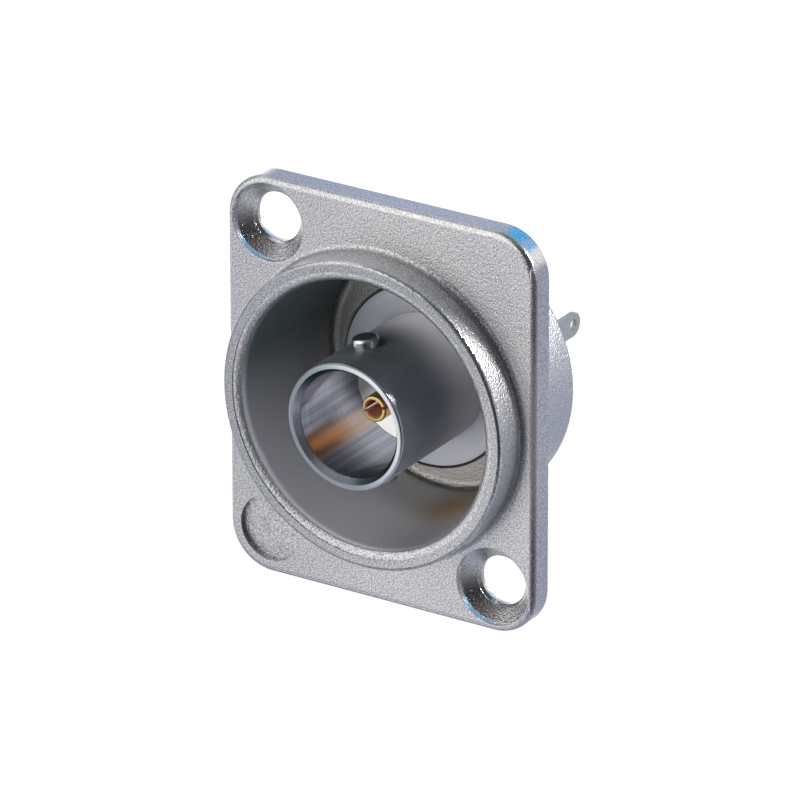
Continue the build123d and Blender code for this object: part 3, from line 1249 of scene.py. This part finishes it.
    def thread(self, sheet: MaterialSheet) -> Socket:
        """Wind the shank's thread: a ridge that rises by one pitch in each turn.

        Args:
            sheet: the material.

        Returns:
            The thread's height, from 0 to 1 on the shank and flat elsewhere.
        """
        turn = sheet.maths("ARCTAN2", sheet.parts["Z"], sheet.parts["X"])
        pitches = sheet.maths("DIVIDE", sheet.along, JACK.thread_pitch)
        phase = sheet.maths("MULTIPLY_ADD", turn, 0.5 / math.pi, pitches)
        ridge = sheet.maths("MULTIPLY", sheet.maths("PINGPONG", phase, 0.5), 2.0)
        inner, outer = beyond(JACK.shank_radius, self.thread_across)
        start, end = beyond(JACK.shank_back, self.thread_stretch)
        return sheet.overlap(
            ridge,
            sheet.maths("GREATER_THAN", sheet.radius, inner),
            sheet.maths("LESS_THAN", sheet.radius, outer),
            sheet.maths("GREATER_THAN", sheet.along, start),
            sheet.maths("LESS_THAN", sheet.along, end),
        )


@dataclass(frozen=True)
class SprungSteel:
    """Nickel plate on rolled spring steel."""

    colour: Colour = (0.58, 0.58, 0.59)
    shade: Colour = (0.50, 0.50, 0.52)
    cloud_size: float = 1.5 * MM
    roughness: float = 0.28
    roughness_spread: float = 0.1
    grain_size: float = 0.09 * MM
    pit_size: float = 0.5 * MM
    grain_depth: float = 0.002 * MM

    def build(self, groups: SharedGroups) -> bpy.types.Material:
        """Make the material.

        Args:
            groups: the shared node groups.

        Returns:
            The material.
        """
        sheet = MaterialSheet("nickelled_steel_rolled", groups)
        grain = sheet.shared(groups.cast_grain, grain_size=self.grain_size, pit_size=self.pit_size)
        cloud = sheet.shared(groups.handling, cloud_size=self.cloud_size)["Cloud"]
        sheet.wear(
            metallic=1.0,
            base_color=sheet.mix(cloud, self.colour, self.shade),
            roughness=sheet.maths("MULTIPLY_ADD", grain["Fleck"], self.roughness_spread, self.roughness),
            normal=sheet.bump(grain["Height"], self.grain_depth),
        )
        return sheet.material


@dataclass(frozen=True)
class Gilt:
    """Gold plate on the turned contact, redder on its side, with painted shade down its hole."""

    colour: Colour = (0.78, 0.58, 0.25)
    side_colour: Colour = (0.92, 0.47, 0.16)
    side_start: Range = (0.08 * MM, 0.18 * MM)
    # Painted shade down the contact's hole.
    hole_shade_colour: Colour = (0.42, 0.16, 0.09)
    hole_metal: float = 0.4
    hole_edge: Range = (0.03 * MM, 0.07 * MM)
    roughness: float = 0.28
    roughness_spread: float = 0.1
    line_width: float = 0.04 * MM
    line_depth: float = 0.001 * MM

    def build(self, groups: SharedGroups) -> bpy.types.Material:
        """Make the material.

        Args:
            groups: the shared node groups.

        Returns:
            The material.
        """
        sheet = MaterialSheet("gilt_contact", groups)
        lines = sheet.shared(groups.turned_lines, line_width=self.line_width)
        # Painted shade down the contact's hole.
        hole = sheet.fade(sheet.radius, *beyond(CONTACT.hole_radius, self.hole_edge))
        side = sheet.spread(sheet.along, *beyond(CONTACT.front, self.side_start))
        tone = sheet.mix(side, self.colour, self.side_colour)
        sheet.wear(
            base_color=sheet.mix(hole, tone, self.hole_shade_colour),
            metallic=sheet.blend(hole, 1.0, self.hole_metal),
            roughness=sheet.maths("MULTIPLY_ADD", lines["Streak"], self.roughness_spread, self.roughness),
            normal=sheet.bump(lines["Height"], self.line_depth),
        )
        return sheet.material


@dataclass(frozen=True)
class TinnedBrass:
    """Dull tin plate on the pressed tag, a little green and mottled."""

    colour: Colour = (0.55, 0.57, 0.55)
    stain: Colour = (0.44, 0.48, 0.44)
    cloud_size: float = 0.9 * MM
    roughness: float = 0.42
    roughness_spread: float = 0.12
    grain_size: float = 0.2 * MM
    pit_size: float = 0.6 * MM
    grain_depth: float = 0.006 * MM

    def build(self, groups: SharedGroups) -> bpy.types.Material:
        """Make the material.

        Args:
            groups: the shared node groups.

        Returns:
            The material.
        """
        sheet = MaterialSheet("tinned_brass_dull", groups)
        grain = sheet.shared(groups.cast_grain, grain_size=self.grain_size, pit_size=self.pit_size)
        cloud = sheet.shared(groups.handling, cloud_size=self.cloud_size)["Cloud"]
        sheet.wear(
            metallic=1.0,
            base_color=sheet.mix(cloud, self.colour, self.stain),
            roughness=sheet.maths("MULTIPLY_ADD", cloud, self.roughness_spread, self.roughness),
            normal=sheet.bump(grain["Height"], self.grain_depth),
        )
        return sheet.material


@dataclass(frozen=True)
class Insulator:
    """Turned or moulded plastic, not metal."""

    name: str
    colour: Colour
    shade: Colour
    roughness: float
    grain_size: float
    grain_depth: float
    pit_to_grain: float = 3.0
    line_to_grain: float = 0.3
    line_width: float = 0.12 * MM
    cloud_size: float = 2.5 * MM
    roughness_spread: float = 0.1

    def build(self, groups: SharedGroups) -> bpy.types.Material:
        """Make the material.

        Args:
            groups: the shared node groups.

        Returns:
            The material.
        """
        sheet = MaterialSheet(self.name, groups)
        pit_size = self.pit_to_grain * self.grain_size
        grain = sheet.shared(groups.cast_grain, grain_size=self.grain_size, pit_size=pit_size)
        lines = sheet.shared(groups.turned_lines, line_width=self.line_width)
        cloud = sheet.shared(groups.handling, cloud_size=self.cloud_size)["Cloud"]
        under = sheet.bump(lines["Height"], self.line_to_grain * self.grain_depth)
        sheet.wear(
            base_color=sheet.mix(cloud, self.colour, self.shade),
            roughness=sheet.maths("MULTIPLY_ADD", lines["Streak"], self.roughness_spread, self.roughness),
            normal=sheet.bump(grain["Height"], self.grain_depth, below=under),
        )
        return sheet.material


PRESSED_NICKEL = TurnedNickel(
    name="turned_nickel_stud",
    roughness=0.20,
    stretch=0.0,
    barrel_colour=(0.74, 0.76, 0.79),
    shaded_colour=(0.74, 0.76, 0.79),
)
WHITE_INSULATOR = Insulator(
    name="white_insulator_waxy",
    colour=(0.90, 0.90, 0.88),
    shade=(0.86, 0.86, 0.83),
    roughness=0.42,
    grain_size=0.2 * MM,
    grain_depth=0.002 * MM,
)
BLACK_INSULATOR = Insulator(
    name="black_insulator_moulded",
    colour=(0.03, 0.03, 0.03),
    shade=(0.045, 0.045, 0.045),
    roughness=0.45,
    grain_size=0.12 * MM,
    grain_depth=0.006 * MM,
)


# Studio

def direction(azimuth: float, elevation: float) -> Vector:
    """Work out a direction seen from the socket.

    Args:
        azimuth: degrees to the right of straight in front.
        elevation: degrees above the horizon.

    Returns:
        The unit vector.
    """
    turn, rise = math.radians(azimuth), math.radians(elevation)
    return Vector((math.sin(turn) * math.cos(rise), -math.cos(turn) * math.cos(rise), math.sin(rise)))


@dataclass(frozen=True)
class PhotoCamera:
    """The photograph's viewpoint, in millimetres and radians."""

    azimuth: float = 0.567386
    elevation: float = 0.413515
    roll: float = -0.002082
    distance: float = 648.735
    focal_pixels: float = 9059.32
    aim_x: float = 0.523251
    aim_z: float = -0.166369
    sensor: float = 36.0
    nearest: float = 50.0
    farthest: float = 20000.0

    def build(self) -> bpy.types.Object:
        """Make the camera and set it as the scene's.

        Returns:
            The camera.
        """
        lens = bpy.data.cameras.new("photo_camera")
        lens.sensor_width = self.sensor
        lens.lens = self.focal_pixels / IMAGE_SIZE * self.sensor
        lens.clip_start = self.nearest * MM
        lens.clip_end = self.farthest * MM
        back = direction(math.degrees(self.azimuth), math.degrees(self.elevation))
        right = Vector((math.cos(self.azimuth), math.sin(self.azimuth), 0.0))
        up = back.cross(right)
        rolled_right = math.cos(self.roll) * right + math.sin(self.roll) * up
        rolled_up = math.cos(self.roll) * up - math.sin(self.roll) * right
        turn = Matrix((rolled_right, rolled_up, back)).transposed().to_4x4()
        place = MM * (Vector((self.aim_x, 0.0, self.aim_z)) + self.distance * back)
        camera = bpy.data.objects.new("photo_camera", lens)
        camera.matrix_world = Matrix.Translation(place) @ turn
        bpy.context.scene.collection.objects.link(camera)
        bpy.context.scene.camera = camera
        LOG.info("camera: lens %.1f mm at %s", lens.lens, tuple(round(part, 4) for part in place))
        return camera


@dataclass(frozen=True)
class Card:
    """A soft-edged card before the white surroundings, full within one angle and gone beyond another."""

    name: str
    azimuth: float
    elevation: float
    colour: Colour
    inner: float
    outer: float


class Lights(Enum):
    """What a lamp lights."""

    METAL = "metal, by its reflection"
    PLASTIC = "plain surfaces"


@dataclass(frozen=True)
class Lamp:
    """A square lamp that faces the socket; a brightness of 1 is white."""

    name: str
    azimuth: float
    elevation: float
    brightness: float
    colour: Colour
    lights: Lights
    distance: float = 0.5
    size: float = 0.10

    def build(self) -> bpy.types.Object:
        """Hang the lamp.

        Returns:
            The lamp.
        """
        towards = direction(self.azimuth, self.elevation)
        light = bpy.data.lights.new(self.name, "AREA")
        light.shape = "SQUARE"
        light.size = self.size
        light.energy = self.brightness * math.pi * self.size * self.size
        light.color = self.colour
        lamp = bpy.data.objects.new(self.name, light)
        lamp.visible_glossy = self.lights is Lights.METAL
        lamp.visible_diffuse = self.lights is Lights.PLASTIC
        lamp.location = self.distance * towards
        lamp.rotation_euler = towards.to_track_quat("Z", "Y").to_euler()
        bpy.context.scene.collection.objects.link(lamp)
        LOG.info("studio: %s for %s", self.name, self.lights.value)
        return lamp


def surroundings_group(cards: tuple[Card, ...]) -> bpy.types.NodeTree:
    """Tone of the studio in a direction from the socket: white, with each card laid over it in turn.

    Args:
        cards: the cards, from the farthest to the nearest.

    Returns:
        The node group.
    """
    sheet = GroupSheet("surroundings", {"Vector": None}, {"Tone": "NodeSocketColor"})
    unit = sheet.vectors("NORMALIZE", sheet.given["Vector"])
    tone = (1.0, 1.0, 1.0)
    for card in cards:
        along = sheet.vectors("DOT_PRODUCT", unit, direction(card.azimuth, card.elevation))
        near = math.cos(math.radians(card.inner))
        far = math.cos(math.radians(card.outer))
        tone = sheet.mix(sheet.spread(along, far, near), tone, card.colour)
        LOG.info("studio: card %s", card.name)
    sheet.feed(sheet.result["Tone"], tone)
    return sheet.group()


@dataclass
class Studio:
    """White surroundings with lighter, darker and tinted cards, two lamps and a pale floor."""

    plain_level: Colour = (0.70, 0.71, 0.74)
    floor_height: float = float(CAD_BOX[0][2])
    floor_gap: float = 0.1 * MM
    floor_size: float = 4.0
    floor_glow: float = 0.92
    floor_colour: Colour = (0.16, 0.16, 0.16)
    cards: tuple[Card, ...] = (
        Card("grey at the left", -90.0, 10.0, (0.50, 0.52, 0.58), 18.0, 38.0),
        Card("blue grey behind", 180.0, 20.0, (0.55, 0.61, 0.80), 38.0, 62.0),
        Card("grey at the right", 100.0, 0.0, (0.60, 0.62, 0.70), 25.0, 45.0),
        Card("grey below", 0.0, -90.0, (0.42, 0.44, 0.52), 42.0, 66.0),
        Card("grey low behind, right", 150.0, -24.0, (0.46, 0.49, 0.60), 28.0, 42.0),
        Card("pale low in front, left", -38.0, -28.0, (0.90, 0.90, 0.94), 20.0, 38.0),
        Card("dark round the camera", 36.0, -4.0, (0.07, 0.075, 0.09), 30.0, 54.0),
        Card("dark above the camera", 50.0, 38.0, (0.09, 0.10, 0.11), 28.0, 50.0),
        Card("dark overhead", 20.0, 86.0, (0.25, 0.28, 0.29), 18.0, 42.0),
        Card("bright in front, left", -34.0, 16.0, (1.38, 1.36, 1.33), 18.0, 46.0),
        Card("bright behind, right", 143.0, 22.0, (1.20, 1.18, 1.15), 9.0, 24.0),
        Card("bright behind, left", -139.0, -9.0, (1.60, 1.57, 1.53), 12.0, 27.0),
        Card("blue high behind", -176.0, 38.0, (0.14, 0.62, 1.12), 8.0, 19.0),
        Card("small blue behind, right", 155.0, 31.0, (0.12, 0.62, 1.15), 3.0, 9.0),
    )
    lamps: tuple[Lamp, ...] = (
        Lamp("right_lamp", 111.0, 34.0, 92.0, (1.0, 0.97, 0.93), Lights.METAL),
        Lamp("front_lamp", -4.0, 27.0, 75.0, (1.0, 1.0, 1.0), Lights.PLASTIC),
    )

    def surroundings(self, group: bpy.types.NodeTree) -> None:
        """Fill in the world.

        The camera and clear things see plain white, metal sees white with the cards, and everything else is
        lit by a plain level.

        Args:
            group: the surroundings' tone by direction.
        """
        world = bpy.data.worlds.new("studio_world")
        bpy.context.scene.world = world
        world.use_nodes = True
        world.cycles.sampling_method = "NONE"
        sheet = NodeSheet(world.node_tree)
        toned = sheet.node("ShaderNodeGroup", node_tree=group)
        sheet.feed(toned.inputs["Vector"], sheet.node("ShaderNodeTexCoord").outputs["Generated"])
        rays = sheet.node("ShaderNodeLightPath").outputs
        seen = sheet.maths("MAXIMUM", rays["Is Camera Ray"], rays["Is Transmission Ray"])
        lit = sheet.mix(rays["Is Glossy Ray"], self.plain_level, toned.outputs["Tone"])
        sky = sheet.node("ShaderNodeBackground")
        sheet.feed(sky.inputs["Color"], sheet.mix(seen, lit, (1.0, 1.0, 1.0)))
        output = sheet.node("ShaderNodeOutputWorld")
        sheet.feed(output.inputs["Surface"], sky.outputs[0])
        LOG.info("studio: surroundings with %d cards", len(self.cards))

    def floor(self) -> bpy.types.Object:
        """Lay the pale floor, which keeps a faint shadow; metal sees the surroundings' cards in its place.

        Returns:
            The floor.
        """
        mesh = bpy.data.meshes.new("floor")
        shape = bmesh.new()
        bmesh.ops.create_grid(shape, x_segments=1, y_segments=1, size=self.floor_size / 2)
        bmesh.ops.translate(shape, verts=shape.verts, vec=(0.0, 0.0, self.floor_height - self.floor_gap))
        shape.to_mesh(mesh)
        shape.free()
        floor = bpy.data.objects.new("floor", mesh)
        floor.visible_glossy = False
        bpy.context.scene.collection.objects.link(floor)
        mesh.materials.append(self.floor_finish())
        LOG.info("studio: floor")
        return floor

    def floor_finish(self) -> bpy.types.Material:
        """Make the floor's finish: nearly white to the camera, and the plain level to everything else.

        Returns:
            The material.
        """
        material = bpy.data.materials.new("pale_floor")
        material.use_nodes = True
        material.cycles.emission_sampling = "NONE"
        sheet = NodeSheet(material.node_tree)
        rays = sheet.node("ShaderNodeLightPath").outputs
        glow = sheet.node("ShaderNodeEmission")
        sheet.feed(glow.inputs["Color"], (1.0, 1.0, 1.0))
        sheet.feed(glow.inputs["Strength"], self.floor_glow)
        body = sheet.node("ShaderNodeBsdfDiffuse")
        sheet.feed(body.inputs["Color"], self.floor_colour)
        seen = sheet.node("ShaderNodeAddShader")
        sheet.feed(seen.inputs[0], glow.outputs[0])
        sheet.feed(seen.inputs[1], body.outputs[0])
        other = sheet.node("ShaderNodeEmission")
        sheet.feed(other.inputs["Color"], self.plain_level)
        both = sheet.node("ShaderNodeMixShader")
        sheet.feed(both.inputs[0], sheet.maths("MAXIMUM", rays["Is Camera Ray"], rays["Is Transmission Ray"]))
        sheet.feed(both.inputs[1], other.outputs[0])
        sheet.feed(both.inputs[2], seen.outputs[0])
        output = sheet.node("ShaderNodeOutputMaterial")
        sheet.feed(output.inputs["Surface"], both.outputs[0])
        return material

    def build(self) -> None:
        """Set up the whole studio."""
        self.surroundings(surroundings_group(self.cards))
        self.floor()
        for lamp in self.lamps:
            lamp.build()


def main() -> None:
    """Build the camera, the studio and every finish, and dress each sub-assembly, in order."""
    logging.basicConfig(level=logging.INFO, format="%(name)s: %(message)s")
    bpy.context.scene.view_settings.view_transform = "Standard"
    PhotoCamera().build()
    Studio().build()
    groups = SharedGroups()
    turned = TurnedNickel().build(groups)
    HOUSING.finish(CastNickel().build(groups))
    JACK.finish(turned, PRESSED_NICKEL.build(groups))
    CONTACT.finish(Gilt().build(groups), WHITE_INSULATOR.build(groups))
    Fixings().finish(turned, SprungSteel().build(groups))
    Insulation().finish(BLACK_INSULATOR.build(groups))
    EarthTag().finish(TinnedBrass().build(groups))


if __name__ == "__main__":
    main()
